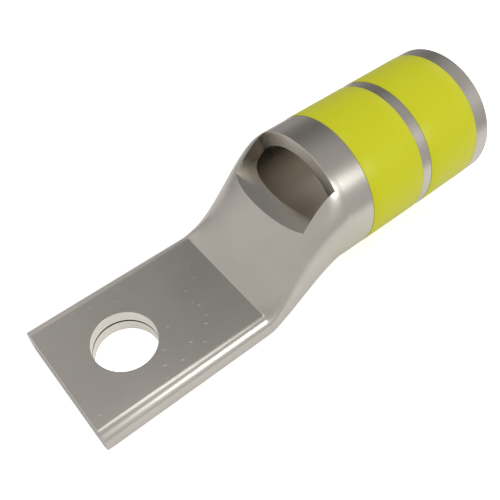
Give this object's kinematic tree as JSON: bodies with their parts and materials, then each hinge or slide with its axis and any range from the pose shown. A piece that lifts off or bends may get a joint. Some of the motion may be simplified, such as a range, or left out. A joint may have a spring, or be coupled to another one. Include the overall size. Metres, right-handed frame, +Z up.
{
  "type": "copper terminal lug",
  "caption": "One-piece tube lug: a round barrel for a stranded conductor, an inspection window in the bend and a flat pad with a bolt hole.",
  "frame": {"origin": "centre of the bolt hole on the underside of the pad", "axes": "+X along the barrel towards the wire end, +Y across the pad, +Z up out of the pad's top face"},
  "size_m": [0.0778, 0.0236, 0.025],
  "materials": {
    "tinned_copper": "satin tin plate over formed copper tube",
    "band_lacquer": "glossy yellow lacquer, two printed bands round the barrel"
  },
  "bodies": {
    "root": {"lug": "tinned_copper"}
  },
  "joints": []
}
